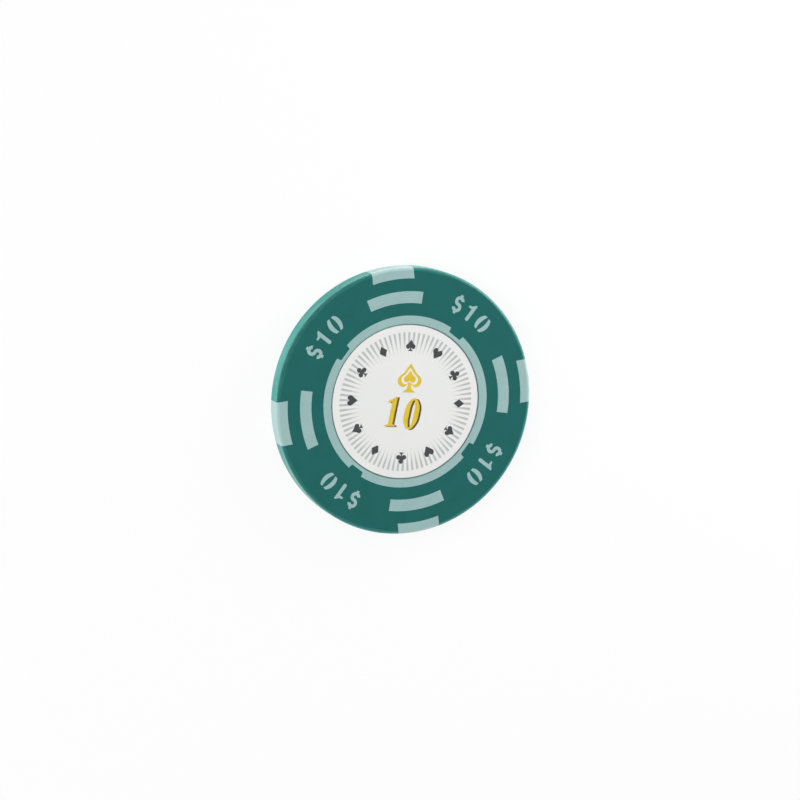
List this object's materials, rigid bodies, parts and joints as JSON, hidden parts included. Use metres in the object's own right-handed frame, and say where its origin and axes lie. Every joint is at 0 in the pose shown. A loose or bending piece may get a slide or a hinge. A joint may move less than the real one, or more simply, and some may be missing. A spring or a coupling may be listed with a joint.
{
  "type": "poker chip",
  "caption": "Flat round poker chip moulded in two colours over a steel weight, with edge spots, moulded value marks and a printed label let into each face.",
  "frame": {"origin": "centre of the back face, which rests on the table", "axes": "+Z along the chip's axis, out of the front face; +X and +Y through the middle of an edge spot"},
  "size_m": [0.04, 0.04, 0.0032],
  "materials": {
    "steel": "stamped, bare",
    "light_composite": "satin moulded mineral-filled composite, pale mint",
    "dark_composite": "satin moulded mineral-filled composite, dark teal",
    "adhesive": "clear acrylic pressure-sensitive layer",
    "label": "printed white vinyl",
    "film": "clear satin laminate"
  },
  "bodies": {
    "root": {"weight_slug": "steel", "light_core": "light_composite", "dark_body": "dark_composite", "front_label_adhesive": "adhesive", "front_label_sheet": "label", "front_label_film": "film", "back_label_adhesive": "adhesive", "back_label_sheet": "label", "back_label_film": "film"}
  },
  "joints": []
}
